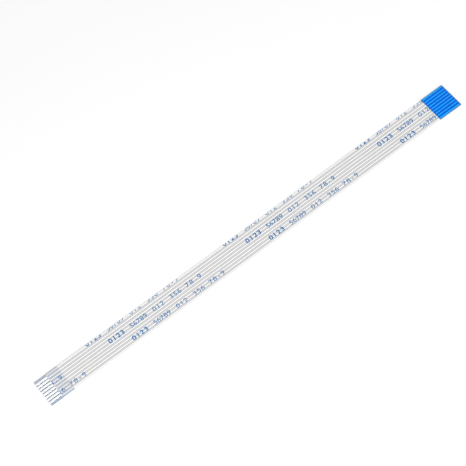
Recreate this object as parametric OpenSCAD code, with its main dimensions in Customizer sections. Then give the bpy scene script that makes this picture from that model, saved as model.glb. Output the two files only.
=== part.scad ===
// Flat flex cable for board to board links: eight flat tinned conductors laminated between two
// insulating films, with a stiffener tape at each end. It lies flat with its length along X.
// At the left end the bare contacts face up and the stiffener is beneath. At the right end the
// contacts face down and the stiffener is on top. Everything rests on z = 0.

/* [Cable] */
// Length from cut end to cut end
cable_len = 150; // [80:5:250]
// Number of conductors, side by side
conductor_count = 8; // [4:1:12]
// Spacing of the conductors, centre to centre
pitch = 1; // [0.9:0.05:1.25]

/* [Conductors] */
// Width of one flat conductor
conductor_w = 0.7; // [0.5:0.05:0.75]
// Thickness of one flat conductor
conductor_t = 0.1; // [0.06:0.01:0.12]

/* [Films] */
// Thickness of one film with its adhesive, over a conductor
film_t = 0.05; // [0.04:0.005:0.08]
// How far each film is pressed in between conductors and along the side margins
groove_d = 0.025; // [0.005:0.005:0.03]

/* [Ends] */
// Length of the bare contacts, where one film stops short of the cut end
contact_len = 4; // [2:0.5:7]
// Length of each stiffener tape
stiffener_len = 8; // [7.5:0.5:15]
// Thickness of each stiffener tape with its adhesive, over a conductor
stiffener_t = 0.15; // [0.1:0.01:0.25]

/* [Lie] */
// Length over which the cable sinks from the lower stiffener to the table
settle_len = 30; // [15:1:40]

/* [Hidden] */

// The margin outside the first and last conductor makes the cable one pitch wider than its rows
cable_w = (conductor_count + 1) * pitch;
left_x = -cable_len / 2;
right_x = cable_len / 2;
conductor_y = [for (i = [0 : conductor_count - 1]) (i - (conductor_count - 1) / 2) * pitch];

// Height of a film's outer face over the cable's mid-plane, on a ridge and in a groove
crown_h = film_t + conductor_t / 2;
groove_h = crown_h - groove_d;
// Half-round rolled edge of a conductor: its radius, and where it starts from the centre line
edge_r = conductor_t / 2;
edge_start = conductor_w / 2 - edge_r;
// Steps in one rolled edge and in the settling bend
edge_steps = 2;
settle_steps = 6;
settle_x = left_x + stiffener_len;

function reversed(list) = [for (i = [len(list) - 1 : -1 : 0]) list[i]];
// A profile turned upside down, still counter-clockwise
function flipped(profile) = reversed([for (p = profile) [p[0], -p[1]]]);

// Height of a film's outer face at distance u from a conductor's centre line: flat over the
// conductor, then a smooth slope down to the middle of the groove
function face_h(u) =
    let (share = (u - edge_start) / (pitch / 2 - edge_start))
    groove_h + groove_d * (1 + cos(180 * share)) / 2;

// Height of the cable's mid-plane over the table: raised by the lower stiffener at the left,
// then down in a smooth S to the flat run
function settled(x) = min(1, max(0, (x - settle_x) / settle_len));
function mid_z(x) = crown_h + stiffener_t * (1 + cos(180 * settled(x))) / 2;

// Places along the run where a swept piece needs a ring
function stations(from_x, to_x) = concat(
    [from_x],
    [for (k = [0 : settle_steps])
        let (x = settle_x + settle_len * k / settle_steps)
        if (x > from_x && x < to_x) x],
    [to_x]);

// Upper right quarter of a conductor's section: the rolled edge as [distance, height] points
rolled_edge = [for (k = [edge_steps : -1 : 0])
    let (a = 90 * k / edge_steps)
    [edge_start + edge_r * cos(a), edge_r * sin(a)]];
upper_half = concat(
    [for (p = reversed(rolled_edge)) [-p[0], p[1]]],
    rolled_edge);
lower_inside = [for (i = [1 : len(upper_half) - 2]) [upper_half[i][0], -upper_half[i][1]]];
conductor_profile = concat(lower_inside, reversed(upper_half));

// The upper film across one conductor, as [distance, inner height, outer height]: a pocket for
// the conductor's upper half within, and the ridge that it raises outside
film_half = concat(
    [for (p = rolled_edge) [p[0], p[1], face_h(p[0])]],
    [let (u = (conductor_w + pitch) / 4) [u, 0, face_h(u)]]);
film_period = concat(
    [[-pitch / 2, 0, groove_h]],
    [for (p = reversed(film_half)) [-p[0], p[1], p[2]]],
    film_half);
film_line = concat(
    [[-cable_w / 2, 0, groove_h]],
    [for (y = conductor_y, p = film_period) [y + p[0], p[1], p[2]]],
    [[cable_w / 2 - pitch / 2, 0, groove_h], [cable_w / 2, 0, groove_h]]);
inner_face = [for (p = film_line) [p[0], p[1]]];
outer_face = [for (p = film_line) [p[0], p[2]]];
upper_film_profile = concat(inner_face, reversed(outer_face));

// Tape whose adhesive fills the grooves of the film beneath it, and is flat outside
tape_h = crown_h + stiffener_t;
upper_tape_profile = concat(outer_face, [[cable_w / 2, tape_h], [-cable_w / 2, tape_h]]);

// Sweeps a counter-clockwise [y, height] profile along the cable's run. The profile's first half
// runs one way along its lower side and its second half comes back along its upper side, so each
// end is closed by a ladder of faces between the two.
module run(profile, from_x, to_x) {
    xs = stations(from_x, to_x);
    n = len(profile);
    last_ring = (len(xs) - 1) * n;
    rungs = [for (i = [0 : n / 2 - 2]) [i, i + 1, n - 2 - i, n - 1 - i]];
    polyhedron(
        points = [for (x = xs, p = profile) [x, p[0], mid_z(x) + p[1]]],
        faces = concat(
            rungs,
            [for (ring = [0 : n : last_ring - n], i = [0 : n - 1])
                let (next = (i + 1) % n)
                [ring + i, ring + n + i, ring + n + next, ring + next]],
            [for (rung = rungs) [for (i = reversed(rung)) last_ring + i]]),
        convexity = 10);
}

// Extrudes a profile along X, level, at the height that the cable has at from_x
module straight(profile, from_x, to_x)
    translate([from_x, 0, mid_z(from_x)])
        rotate([90, 0, 90])
            linear_extrude(to_x - from_x)
                polygon(profile);

module bottom_film()
    color("gainsboro")
        run(flipped(upper_film_profile), left_x, right_x - contact_len);

module top_film()
    color("whitesmoke")
        run(upper_film_profile, left_x + contact_len, right_x);

module conductor(i)
    color("silver")
        translate([0, conductor_y[i], 0])
            run(conductor_profile, left_x, right_x);

module left_stiffener()
    color([0, 0.43, 0.93])
        straight(flipped(upper_tape_profile), left_x, left_x + stiffener_len);

module right_stiffener()
    color([0, 0.43, 0.93])
        straight(upper_tape_profile, right_x - stiffener_len, right_x);

bottom_film();
top_film();
left_stiffener();
right_stiffener();
for (i = [0 : conductor_count - 1])
    conductor(i);
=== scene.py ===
import bpy, bmesh
from math import radians, sin, cos, pi, sqrt
from mathutils import Vector, Matrix


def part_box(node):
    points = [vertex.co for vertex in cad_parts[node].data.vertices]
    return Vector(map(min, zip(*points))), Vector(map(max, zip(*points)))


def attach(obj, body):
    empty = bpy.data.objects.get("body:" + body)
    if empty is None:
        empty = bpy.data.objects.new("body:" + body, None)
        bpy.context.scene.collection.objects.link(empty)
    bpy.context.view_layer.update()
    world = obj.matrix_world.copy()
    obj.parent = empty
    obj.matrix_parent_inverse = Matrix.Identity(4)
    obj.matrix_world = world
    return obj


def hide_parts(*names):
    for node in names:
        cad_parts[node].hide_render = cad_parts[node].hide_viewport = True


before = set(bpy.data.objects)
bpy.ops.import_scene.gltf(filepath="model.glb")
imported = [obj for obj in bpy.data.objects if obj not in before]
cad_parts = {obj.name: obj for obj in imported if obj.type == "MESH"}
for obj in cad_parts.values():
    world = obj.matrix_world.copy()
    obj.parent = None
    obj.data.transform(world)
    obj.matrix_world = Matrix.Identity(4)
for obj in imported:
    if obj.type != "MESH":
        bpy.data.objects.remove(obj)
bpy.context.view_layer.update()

mm = 0.001

aim = Vector((-3.0, 5.66, 0.25)) * mm
distance = 552.3 * mm
turn, drop, roll = radians(26.3), radians(60.7), radians(-12.8)
forward = Vector((sin(turn) * cos(drop), cos(turn) * cos(drop), -sin(drop)))
level = forward.cross(Vector((0, 0, 1))).normalized()
over = level.cross(forward)
right = level * cos(roll) + over * sin(roll)
up = over * cos(roll) - level * sin(roll)

focal, sensor = 147.2, 36                   # long lens, in millimetres
lens = bpy.data.cameras.new("Camera")
lens.lens, lens.sensor_width = focal, sensor
lens.clip_start, lens.clip_end = 20 * mm, 20
camera = bpy.data.objects.new("Camera", lens)
bpy.context.collection.objects.link(camera)
facing = Matrix((right, up, -forward)).transposed().to_4x4()
camera.matrix_world = Matrix.Translation(aim - forward * distance) @ facing
bpy.context.scene.camera = camera
bpy.context.scene.view_settings.view_transform = "Standard"

# FILMS. Two polyester films with white adhesive inside are rolled together, hot,
# round the conductors, so the outside has a shallow ridge over each. The metal
# shows through as grey stripes, and a backing tape behind as a blue cast.
ribbon_count = 8
top_lo, top_hi = [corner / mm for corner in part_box("top_film")]
tape_lo, tape_hi = [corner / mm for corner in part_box("right_stiffener")]
ribbon_boxes = [[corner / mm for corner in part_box("conductor_%d" % i)]
                for i in range(1, ribbon_count + 1)]
half_len, half_wide = top_hi.x, top_hi.y
contact_x = -top_lo.x                       # where the covering film stops at either end
tape_x = tape_lo.x                          # inner end of the backing tape
crown = top_lo.z                            # middle of the cable up to the top of a ridge
groove = tape_lo.z - crown                  # and up to the bottom of a groove
tape_over = tape_hi.z - 2 * crown           # the tape's thickness over a ridge
ribbon_y = [(lo.y + hi.y) / 2 for lo, hi in ribbon_boxes]
ribbon_half = (ribbon_boxes[0][1].y - ribbon_boxes[0][0].y) / 2
edge_round = crown - ribbon_boxes[0][0].z   # half the metal's thickness, and its rolled edge
flat_half = ribbon_half - edge_round
half_pitch = (ribbon_y[1] - ribbon_y[0]) / 2
settle_run = 30                             # length over which the cable comes down to the table


def lie(x):
    """Height of the cable's middle: raised on the tape at the left, then easing down to the table."""
    settled = min(1, max(0, (x + tape_x) / settle_run))
    return crown + tape_over * (1 + cos(pi * settled)) / 2


def off_ribbon(y):
    """Distance from the middle of the nearest conductor, no more than half the spacing."""
    return min(half_pitch, min(abs(y - middle) for middle in ribbon_y))


def ridge(y):
    """The film's outer face over the cable's middle: a low soft wave, highest over the metal."""
    return groove + (crown - groove) * (1 + cos(pi * off_ribbon(y) / half_pitch)) / 2


def pocket(y):
    """The film's inner face, which wraps the rolled edge of the metal."""
    past = off_ribbon(y) - flat_half
    return edge_round if past <= 0 else sqrt(max(0, edge_round ** 2 - past ** 2))


# Fold lines along the film: round a conductor's rolled edge, and down the ridge's wave
half_turn_steps = 8
rolled = [flat_half + edge_round * cos(pi / half_turn_steps * step)
          for step in range(half_turn_steps // 2 + 1)]
wave = [0, 0.075, 0.15, 0.225, 0.4, 0.45, 0.5]
# Cuts across the cable where it bends down to the table
settle_cuts = 16
stations = [-tape_x + settle_run * step / settle_cuts for step in range(settle_cuts + 1)]
weld = 1e-4                                 # points closer than this count as one


def folds(offsets):
    """Lines along the cable at these distances to either side of every conductor."""
    return sorted({round(middle + side * offset, 6)
                   for middle in ribbon_y for offset in offsets for side in (-1, 1)})


def slice_at(bm, axis, places):
    """Cuts the mesh across at each place on an axis, where it reaches that far."""
    for at in places:
        bmesh.ops.bisect_plane(bm, geom=bm.verts[:] + bm.edges[:] + bm.faces[:], dist=weld,
                               plane_co=Vector((at, at, at)), plane_no=axis)


def moved_points(geom):
    """The points among what an extrude made."""
    return [part for part in geom if isinstance(part, bmesh.types.BMVert)]


def strip(start, end, lines, inner, outer, side):
    """A flat strip sliced along the lines, then raised into a closed layer between two faces of the cable."""
    bm = bmesh.new()
    bmesh.ops.create_grid(bm, x_segments=1, y_segments=1, size=1)
    bmesh.ops.scale(bm, verts=bm.verts, vec=((end - start) / 2, half_wide, 1))
    bmesh.ops.translate(bm, verts=bm.verts, vec=((start + end) / 2, 0, 0))
    slice_at(bm, Vector((1, 0, 0)), [x for x in stations if start < x < end])
    slice_at(bm, Vector((0, 1, 0)), lines)
    below = bm.verts[:]
    above = moved_points(bmesh.ops.extrude_face_region(bm, geom=bm.faces[:])["geom"])
    for vert in below:
        vert.co.z = lie(vert.co.x) + side * inner(vert.co.y)
    for vert in above:
        vert.co.z = lie(vert.co.x) + side * outer(vert.co.y)
    bmesh.ops.recalc_face_normals(bm, faces=bm.faces)
    return bm


crisp_fold = radians(40)                    # an edge that turns more than this stays sharp


def finish_piece(bm, name, finish, node=None):
    """Turns a mesh made in millimetres into a smooth piece with crisp folds, which may stand for a CAD node."""
    bmesh.ops.scale(bm, verts=bm.verts, vec=(mm, mm, mm))
    for face in bm.faces:
        face.smooth = True
    for edge in bm.edges:
        edge.smooth = edge.calc_face_angle(0) < crisp_fold
    mesh = bpy.data.meshes.new(name)
    bm.to_mesh(mesh)
    bm.free()
    mesh.materials.append(finish)
    piece = bpy.data.objects.new(name, mesh)
    bpy.context.collection.objects.link(piece)
    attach(piece, "root")
    if node:
        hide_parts(node)
    return piece


def material(name):
    """A new node material: returns it, its tree and its main shader."""
    made = bpy.data.materials.new(name)
    made.use_nodes = True
    return made, made.node_tree, made.node_tree.nodes["Principled BSDF"]


def put(tree, kind, inputs=(), **settings):
    """Adds a node, sets its properties and joins or fills its inputs in order."""
    node = tree.nodes.new(kind)
    for key, value in settings.items():
        setattr(node, key, value)
    for socket, value in (inputs.items() if isinstance(inputs, dict) else enumerate(inputs)):
        if isinstance(value, bpy.types.NodeSocket):
            tree.links.new(value, node.inputs[socket])
        elif value is not None:
            node.inputs[socket].default_value = value
    return node


def calc(tree, operation, *values, clamp=False):
    """The result of one Math node."""
    return put(tree, "ShaderNodeMath", values, operation=operation, use_clamp=clamp).outputs[0]


def place(tree):
    """The object's own place in millimetres, whole and as x and y."""
    where = put(tree, "ShaderNodeTexCoord").outputs["Object"]
    scaled = put(tree, "ShaderNodeVectorMath", [where, (1000, 1000, 1000)], operation="MULTIPLY").outputs[0]
    parts = put(tree, "ShaderNodeSeparateXYZ", [scaled]).outputs
    return scaled, parts["X"], parts["Y"]


def blend(tree, share, a, b):
    """Colour a where share is 0 and b where it is 1."""
    mix = put(tree, "ShaderNodeMix", data_type="RGBA")
    for socket, value in ((mix.inputs[0], share), (mix.inputs[6], a), (mix.inputs[7], b)):
        if isinstance(value, bpy.types.NodeSocket):
            tree.links.new(value, socket)
        else:
            socket.default_value = value if socket.type == "VALUE" else (*value, 1)
    return mix.outputs[2]


def ramp(tree, value, stops):
    """A colour ramp through a list of (place, colour) stops."""
    node = put(tree, "ShaderNodeValToRGB", [value])
    colours = node.color_ramp.elements
    while len(colours) < len(stops):
        colours.new(0.5)
    for element, (spot, colour) in zip(colours, stops):
        element.position, element.color = spot, (*colour, 1)
    return node.outputs[0]


def ease(tree, value, start, end):
    """0 at start, 1 at end, smooth between."""
    return put(tree, "ShaderNodeMapRange", [value, start, end, 0, 1],
               interpolation_type="SMOOTHSTEP").outputs[0]


def spread(tree, value, low, high, start=0.3, end=0.7):
    """Turns a noise value, which mostly lies between start and end, into a number between low and high."""
    return put(tree, "ShaderNodeMapRange", [value, start, end, low, high]).outputs[0]


def noise(tree, where, stretch, detail=2.0):
    """Noise with this many features to the millimetre along each axis."""
    scaled = put(tree, "ShaderNodeVectorMath", [where, stretch], operation="MULTIPLY").outputs[0]
    return put(tree, "ShaderNodeTexNoise", {"Vector": scaled, "Scale": 1.0, "Detail": detail}).outputs["Fac"]


relief = 0.01 * mm                          # depth of the fine relief on every surface


def roughen(tree, shader, height, strength, low, high):
    """Gives a surface its fine relief, and a gloss that wanders with it."""
    tree.links.new(spread(tree, height, low, high), shader.inputs["Roughness"])
    bump = put(tree, "ShaderNodeBump", {"Strength": strength, "Distance": relief, "Height": height})
    tree.links.new(bump.outputs[0], shader.inputs["Normal"])


def from_ribbon(tree, y):
    """Distance in millimetres from the middle of the nearest conductor, and whether this is a side margin."""
    across = calc(tree, "ABSOLUTE", calc(tree, "SUBTRACT", calc(tree, "FRACT", y), 0.5))
    margin = calc(tree, "GREATER_THAN", calc(tree, "ABSOLUTE", y), ribbon_y[-1] + half_pitch)
    return calc(tree, "MAXIMUM", across, calc(tree, "MULTIPLY", margin, half_pitch)), margin


# Colours of the film by distance from a conductor's middle: the metal's shape shows as grey, then white. The
# darker band along each conductor's rolled edge, on the plain film and over the tape, is painted shade.
film_grey_edge_shade = [(0.00, (0.80, 0.80, 0.80)), (0.08, (0.74, 0.74, 0.74)), (0.15, (0.435, 0.436, 0.442)),
             (0.265, (0.335, 0.337, 0.343)), (0.283, (0.47, 0.472, 0.476)),
             (0.300, (0.985, 0.985, 0.985)), (0.50, (0.99, 0.99, 0.99))]
film_on_tape_edge_shade = [(0.00, (0.50, 0.52, 0.56)), (0.26, (0.41, 0.435, 0.48)), (0.295, (0.48, 0.515, 0.565)),
                (0.315, (0.81, 0.84, 0.89)), (0.50, (0.84, 0.87, 0.92))]
# The side margins are a pale grey, darker than the gaps: partly the film's own tone, partly painted shade from
# the floor contact, given to both sides alike.
margin_tone_and_shade, margin_on_tape = (0.865, 0.865, 0.865), (0.59, 0.62, 0.68)
# The film's bare inner face, at the contacts: blue from the tape behind it, and between the contacts darkened
# with painted shade from the conductors' walls.
inside_gap_shade, inside_margin = (0.05, 0.13, 0.20), (0.44, 0.51, 0.60)
slit_blue = (0.20, 0.26, 0.36)              # the tape's cut edge, seen along both sides of the film
slit_wide, slit_full = 0.22, 0.05           # it starts this far in from the side, and is full this far in
cast_soft = 0.1                             # half the length over which the tape's cast fades out
seam = 0.001                                # the bare inner face starts this far past the covering film's end
wander_most = 0.05                          # how far the stripes wander sideways, from side to side
dull_grey, dull_most = (0.62, 0.60, 0.57), 0.04  # faint cloudiness
warm_tint, warm_most = (0.84, 0.70, 0.60), 0.14  # copper, faint through thin tin and film


def film_material(name, hand):
    """hand is 1 for the top film, and -1 for the bottom one, which is the same film turned end for end."""
    made, tree, shader = material(name)
    where, x, y = place(tree)
    x = calc(tree, "MULTIPLY", x, hand)
    wander = calc(tree, "SUBTRACT", noise(tree, where, (0.05, 0.6, 1)), 0.5)
    wander = calc(tree, "MULTIPLY", wander, wander_most)
    off, margin = from_ribbon(tree, calc(tree, "ADD", y, wander))
    on_tape = ease(tree, x, -tape_x + cast_soft, -tape_x - cast_soft)
    # The grey stripes carry painted shade along each conductor's edge.
    colour = blend(tree, on_tape, blend(tree, margin, ramp(tree, off, film_grey_edge_shade), margin_tone_and_shade),
                   blend(tree, margin, ramp(tree, off, film_on_tape_edge_shade), margin_on_tape))
    inside = calc(tree, "GREATER_THAN", x, contact_x + seam)
    # Between the bare contacts the blue carries painted shade.
    colour = blend(tree, inside, colour, blend(tree, margin, inside_gap_shade, inside_margin))
    slit = ease(tree, calc(tree, "ABSOLUTE", y), half_wide - slit_wide, half_wide - slit_full)
    slit = calc(tree, "MULTIPLY", slit, calc(tree, "MAXIMUM", on_tape, inside))
    colour = blend(tree, slit, colour, slit_blue)
    cloudy = noise(tree, where, (0.1, 0.4, 1), detail=3.0)
    colour = blend(tree, calc(tree, "MULTIPLY", cloudy, dull_most), colour, dull_grey)
    warm = spread(tree, noise(tree, where, (0.16, 1.1, 1)), 0, warm_most, start=0.53, end=0.70)
    colour = blend(tree, warm, colour, warm_tint)
    tree.links.new(colour, shader.inputs["Base Color"])
    roughen(tree, shader, noise(tree, where, (0.8, 12, 1), detail=3.0), strength=0.25, low=0.34, high=0.46)
    return made


film_lines = folds(rolled + wave)
top_film = finish_piece(strip(-contact_x, half_len, film_lines, pocket, ridge, 1), "top_cover_film",
                        film_material("printed_film", 1), "top_film")
bottom_film = finish_piece(strip(-half_len, contact_x, film_lines, pocket, ridge, -1), "bottom_cover_film",
                           film_material("plain_film", -1), "bottom_film")

# CONDUCTORS. Flat copper ribbons rolled from round wire and tin plated, so
# their edges are round, and the bare ends are a soft silver with fine streaks
# along them. Only the sheared ends show the copper.
tin_streak = [(0.30, (0.84, 0.85, 0.855)), (0.45, (0.95, 0.95, 0.95)), (0.70, (0.985, 0.985, 0.985))]
tarnish, tarnish_most = (0.72, 0.71, 0.69), 0.12
bare_copper, sheared = (0.80, 0.48, 0.33), 0.003  # only within this distance of a cut end


def tin_material(name):
    made, tree, shader = material(name)
    where, x, _ = place(tree)
    streak = noise(tree, where, (0.25, 14, 14), detail=4.0)
    stain = calc(tree, "MULTIPLY", noise(tree, where, (1.2, 1.2, 1.2)), tarnish_most)
    colour = blend(tree, stain, ramp(tree, streak, tin_streak), tarnish)
    cut = calc(tree, "GREATER_THAN", calc(tree, "ABSOLUTE", x), half_len - sheared)
    colour = blend(tree, cut, colour, bare_copper)
    tree.links.new(colour, shader.inputs["Base Color"])
    shader.inputs["Metallic"].default_value = 1
    roughen(tree, shader, streak, strength=0.3, low=0.26, high=0.40)
    return made


tin = tin_material("tinned_copper")
for number, middle in enumerate(ribbon_y, 1):
    bm = bmesh.new()
    ends = []
    for side in (1, -1):
        edge_y = middle + side * flat_half
        corner = bm.verts.new((-half_len, edge_y, edge_round))
        turned = bmesh.ops.spin(bm, geom=[corner], axis=(1, 0, 0), cent=(-half_len, edge_y, 0),
                                angle=-side * pi, steps=half_turn_steps)
        ends.append((corner, turned["geom_last"][0]))
    for one, other in zip(*ends):
        bm.edges.new((one, other))
    section = bmesh.ops.contextual_create(bm, geom=bm.edges[:])["faces"]
    drawn = moved_points(bmesh.ops.extrude_face_region(bm, geom=section)["geom"])
    bmesh.ops.translate(bm, verts=drawn, vec=(2 * half_len, 0, 0))
    slice_at(bm, Vector((1, 0, 0)), stations)
    for vert in bm.verts:
        vert.co.z += lie(vert.co.x)
    bmesh.ops.recalc_face_normals(bm, faces=bm.faces)
    finish_piece(bm, "ribbon_%d" % number, tin, "conductor_%d" % number)

# BACKING TAPES. A short strip of blue polyester tape is bonded behind the
# contacts at each end, so that the soft end can be pushed into a socket. It is
# pressed over the ridges and looks darker over the metal. The darker band along
# its cut edges is painted shade.
sink = 0.012                                # how far the tape dips between the conductors
tape_round = 0.02                           # rounding of its outer edges
outer_corner = radians(60)                  # an edge that turns more than this gets the rounding
shade_rim_wide = 0.36                             # the band of painted shade along its cut edges
tape_blue = [(0.00, (0.0, 0.125, 0.80)), (0.14, (0.0, 0.118, 0.79)), (0.27, (0.0, 0.105, 0.73)),
             (0.335, (0.02, 0.39, 0.99)), (0.50, (0.03, 0.46, 1.0))]
# The colour of the painted shade along the tape's cut edges, and how strong it is.
shade_rim_blue, shade_rim_most = (0.015, 0.12, 0.40), 0.9
mottle_blue, mottle_most = (0.004, 0.20, 0.75), 0.08
tape_folds = [0, 0.3, 0.36, 0.42, 0.5]      # fold lines of its outer face, from a conductor's middle


def tape_material(name):
    made, tree, shader = material(name)
    where, x, y = place(tree)
    off, _ = from_ribbon(tree, y)
    along, aside = calc(tree, "ABSOLUTE", x), calc(tree, "ABSOLUTE", y)
    # A band of painted shade along the tape's cut edges: its inner end, its outer end and both sides.
    inner_shade_rim = ease(tree, along, tape_x + shade_rim_wide, tape_x + shade_rim_wide / 3)
    cut_shade_rim = ease(tree, along, half_len - shade_rim_wide, half_len - shade_rim_wide / 3)
    side_shade_rim = ease(tree, aside, half_wide - shade_rim_wide, half_wide - shade_rim_wide / 3)
    shade_rim = calc(tree, "MAXIMUM", calc(tree, "MAXIMUM", inner_shade_rim, cut_shade_rim), side_shade_rim)
    colour = blend(tree, calc(tree, "MULTIPLY", shade_rim, shade_rim_most), ramp(tree, off, tape_blue), shade_rim_blue)
    mottle = calc(tree, "MULTIPLY", noise(tree, where, (0.6, 0.6, 1), detail=3.0), mottle_most)
    colour = blend(tree, mottle, colour, mottle_blue)
    tree.links.new(colour, shader.inputs["Base Color"])
    shader.inputs["Specular IOR Level"].default_value = 0.25
    shader.inputs["Specular Tint"].default_value = (0.12, 0.5, 1.0, 1)
    roughen(tree, shader, noise(tree, where, (3, 3, 3), detail=3.0), strength=0.2, low=0.28, high=0.38)
    return made


def tape_face(y):
    """The tape's outer face over the cable's middle: nearly flat, with a slight dip over each groove."""
    return crown + tape_over - sink * (crown - ridge(y)) / (crown - groove)


blue = tape_material("blue_tape")
for name, node, side, start, end in (("left_backing_tape", "left_stiffener", -1, -half_len, -tape_x),
                                     ("right_backing_tape", "right_stiffener", 1, tape_x, half_len)):
    bm = strip(start, end, folds(tape_folds), ridge, tape_face, side)
    outline = [edge for edge in bm.edges if edge.calc_face_angle(0) > outer_corner
               and all(side * (vert.co.z - lie(vert.co.x)) > crown + tape_over / 2 for vert in edge.verts)]
    bmesh.ops.bevel(bm, geom=outline, offset=tape_round, segments=2, profile=0.5, affect="EDGES", material=-1)
    finish_piece(bm, name, blue, node)

# PRINT. Three staggered rows of small blue characters are jetted along the top
# film as it is made, and run on past both ends. The upper row is cut through
# by the slit edge. Plain numbers take the place of the wording.
groups = [("0123", 0.0, 1.42, 0.022), ("56789", 7.5, 1.20, 0.0), ("012", 15.6, 1.38, 0.0),
          ("356", 21.7, 1.38, 0.0), ("78-9", 27.4, 1.45, 0.0)]  # signs, start, advance, extra stroke width
repeat, repeats = 49.35, range(-1, 3)       # length of one repeat, and which of them are tried
rows = [(4.56, -57.0), (0.9, -51.2), (-2.67, -45.4)]  # middle line of each row, and where a repeat starts
letter_tall, letter_wide = 1.45, 1.05
curve_steps = 5                             # straight pieces in one curved stretch of a character
ink_under, ink_over = 0.002, 0.003          # the ink's skin, below and above the face that it lies on
print_folds = [0, 0.1, 0.2, 0.3, 0.4, 0.5]  # fold lines of the ink, from a conductor's middle
covered_inset = 0.4                         # the print shows through the tape this far in from its ends


def ink_material(name, thin, thick, shine, cover):
    """thin and thick are the ink's two colours, and cover is how far the tape's own blue lies over them."""
    made, tree, shader = material(name)
    where, _, y = place(tree)
    patchy = noise(tree, where, (5, 5, 5))
    colour = blend(tree, patchy, thick, thin)
    colour = blend(tree, cover, colour, ramp(tree, from_ribbon(tree, y)[0], tape_blue))
    tree.links.new(colour, shader.inputs["Base Color"])
    shader.inputs["Specular IOR Level"].default_value = shine
    roughen(tree, shader, patchy, strength=0.2, low=0.45, high=0.60)
    return made


def stamp(sign, bold):
    """One character as a flat mesh, as the font gives it."""
    curve = bpy.data.curves.new("character", "FONT")
    curve.body, curve.resolution_u, curve.offset = sign, curve_steps, bold
    holder = bpy.data.objects.new("character", curve)
    bpy.context.collection.objects.link(holder)
    bpy.context.view_layer.update()
    mesh = bpy.data.meshes.new_from_object(holder.evaluated_get(bpy.context.evaluated_depsgraph_get()))
    bpy.data.objects.remove(holder)
    return mesh


def span(mesh, axis):
    """How far a mesh reaches along an axis."""
    places = [vert.co[axis] for vert in mesh.vertices]
    return min(places), max(places)


# Every character is scaled by the plain zero, and centred on its own width and on the zero's height
stamps = {(sign, bold): stamp(sign, bold) for signs, at, advance, bold in groups for sign in signs}
tall = span(stamps["0", 0.0], 1)
wide = span(stamps["0", 0.0], 0)
letter_scale = Matrix.Diagonal((letter_wide / (wide[1] - wide[0]), letter_tall / (tall[1] - tall[0]), 1, 1))
for mesh in stamps.values():
    low, high = span(mesh, 0)
    mesh.transform(letter_scale @ Matrix.Translation((-(low + high) / 2, -(tall[0] + tall[1]) / 2, 0)))


def lay_print(name, finish, start, end, face):
    """Sets the rows of characters between two places as a thin skin on a face, cut off at the cable's edges."""
    bm = bmesh.new()
    for row_y, first in rows:
        for count in repeats:
            for signs, at, advance, bold in groups:
                for number, sign in enumerate(signs):
                    middle = first + count * repeat + at + letter_wide / 2 + number * advance
                    if start - letter_wide / 2 < middle < end + letter_wide / 2:
                        old = set(bm.verts)
                        bm.from_mesh(stamps[sign, bold])
                        new = [vert for vert in bm.verts if vert not in old]
                        bmesh.ops.translate(bm, verts=new, vec=(middle, row_y, 0))
    for at, away in (((start, 0, 0), (-1, 0, 0)), ((end, 0, 0), (1, 0, 0)), ((0, half_wide, 0), (0, 1, 0))):
        bmesh.ops.bisect_plane(bm, geom=bm.verts[:] + bm.edges[:] + bm.faces[:], dist=weld,
                               plane_co=at, plane_no=away, clear_outer=True)
    slice_at(bm, Vector((0, 1, 0)), folds(print_folds))
    bmesh.ops.remove_doubles(bm, verts=bm.verts, dist=weld)
    below = bm.verts[:]
    above = moved_points(bmesh.ops.extrude_face_region(bm, geom=bm.faces[:])["geom"])
    for vert in below:
        vert.co.z = lie(vert.co.x) + face(vert.co.y) - ink_under
    for vert in above:
        vert.co.z = lie(vert.co.x) + face(vert.co.y) + ink_over
    bmesh.ops.recalc_face_normals(bm, faces=bm.faces)
    return finish_piece(bm, name, finish)


blue_ink = ink_material("blue_ink", thin=(0.0, 0.22, 0.54), thick=(0.0, 0.10, 0.32), shine=0.3, cover=0)
covered_ink = ink_material("covered_ink", thin=(0.0, 0.11, 0.55), thick=(0.0, 0.08, 0.42), shine=0.12, cover=0.5)
print_lines = lay_print("print_lines", blue_ink, -contact_x, tape_x, ridge)
print_under_tape = lay_print("print_under_tape", covered_ink,
                             tape_x + covered_inset, half_len - covered_inset, tape_face)

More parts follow.
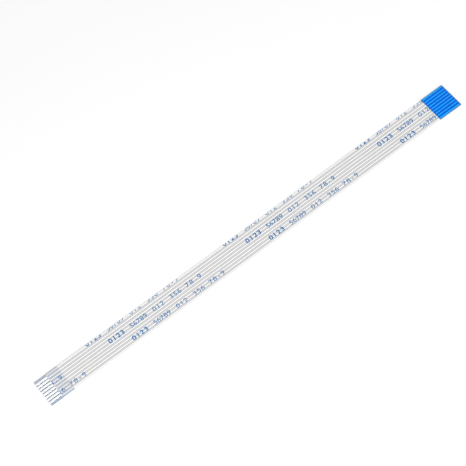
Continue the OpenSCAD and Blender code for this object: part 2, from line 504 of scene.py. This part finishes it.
# FLOOR AND LIGHT. A pale floor, one large soft key lamp from the near side and
# an even sky; both show as white to the camera and in reflections.
def seen_rays(tree):
    """1 for rays that show the background itself: seen straight, in a reflection or through glass."""
    path = put(tree, "ShaderNodeLightPath").outputs
    straight = calc(tree, "ADD", path["Is Camera Ray"], path["Is Glossy Ray"])
    return calc(tree, "ADD", straight, path["Is Transmission Ray"], clamp=True)


floor_half, floor_drop = 3, 0.02 * mm       # half its side in metres, and its place just under the cable
floor_lift = 0.24                           # lifts the pale floor to white for the rays that show it
daylight, white = 0.5, 1.0                  # the sky's strength on the object, and as a background

bm = bmesh.new()
bmesh.ops.create_grid(bm, x_segments=1, y_segments=1, size=floor_half)
bmesh.ops.translate(bm, verts=bm.verts, vec=(0, 0, -floor_drop))
ground = bpy.data.meshes.new("floor")
bm.to_mesh(ground)
bm.free()
floor_piece = bpy.data.objects.new("floor", ground)
bpy.context.collection.objects.link(floor_piece)
made, tree, shader = material("pale_floor")
where, _, _ = place(tree)
patches = noise(tree, where, (0.01, 0.01, 0.01))
tree.links.new(blend(tree, patches, (0.80, 0.80, 0.80), (0.82, 0.82, 0.82)), shader.inputs["Base Color"])
shader.inputs["Roughness"].default_value = 1
shader.inputs["Specular IOR Level"].default_value = 0
shader.inputs["Emission Color"].default_value = (1, 1, 1, 1)
tree.links.new(calc(tree, "MULTIPLY", seen_rays(tree), floor_lift), shader.inputs["Emission Strength"])
ground.materials.append(made)

sky = bpy.data.worlds.new("World")
bpy.context.scene.world = sky
sky.use_nodes = True
tree = sky.node_tree
tree.links.new(calc(tree, "MULTIPLY_ADD", seen_rays(tree), white - daylight, daylight),
               tree.nodes["Background"].inputs["Strength"])
tree.nodes["Background"].inputs["Color"].default_value = (1, 1, 1, 1)

key = bpy.data.lights.new("Key", "AREA")
key.size, key.energy = 0.5, 5.8             # metres and watts
lamp = bpy.data.objects.new("Key", key)
bpy.context.collection.objects.link(lamp)
lamp.location = (-0.17, -0.60, 0.49)
lamp.rotation_euler = (-lamp.location).to_track_quat("-Z", "Y").to_euler()
